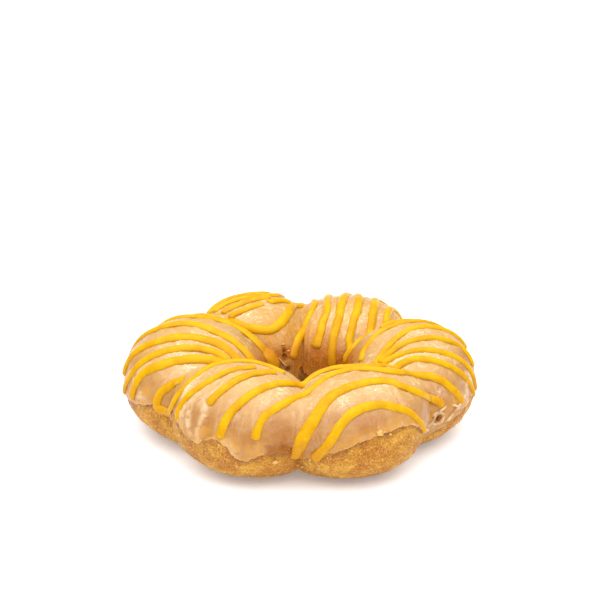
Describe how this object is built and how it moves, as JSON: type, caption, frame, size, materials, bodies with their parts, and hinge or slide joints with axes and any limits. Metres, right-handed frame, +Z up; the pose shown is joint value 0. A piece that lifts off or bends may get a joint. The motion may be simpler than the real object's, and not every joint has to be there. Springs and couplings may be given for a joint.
{
  "type": "ring doughnut",
  "caption": "Ring doughnut of round dough balls pressed together, with a clear sugar glaze and thick yellow icing drizzled across it.",
  "frame": {"origin": "centre of the doughnut's footprint, on the surface it rests on", "axes": "+Z up through the hole, -Y towards the front crease, +X to the right seen from the front"},
  "size_m": [0.0898, 0.085, 0.0266],
  "materials": {
    "fried_dough": "matte, golden brown, finely porous fried dough",
    "sugar_glaze": "glossy translucent set sugar glaze with whitish streaks",
    "yellow_icing": "satin set yellow icing"
  },
  "bodies": {
    "root": {"doughnut": "fried_dough"}
  },
  "joints": []
}
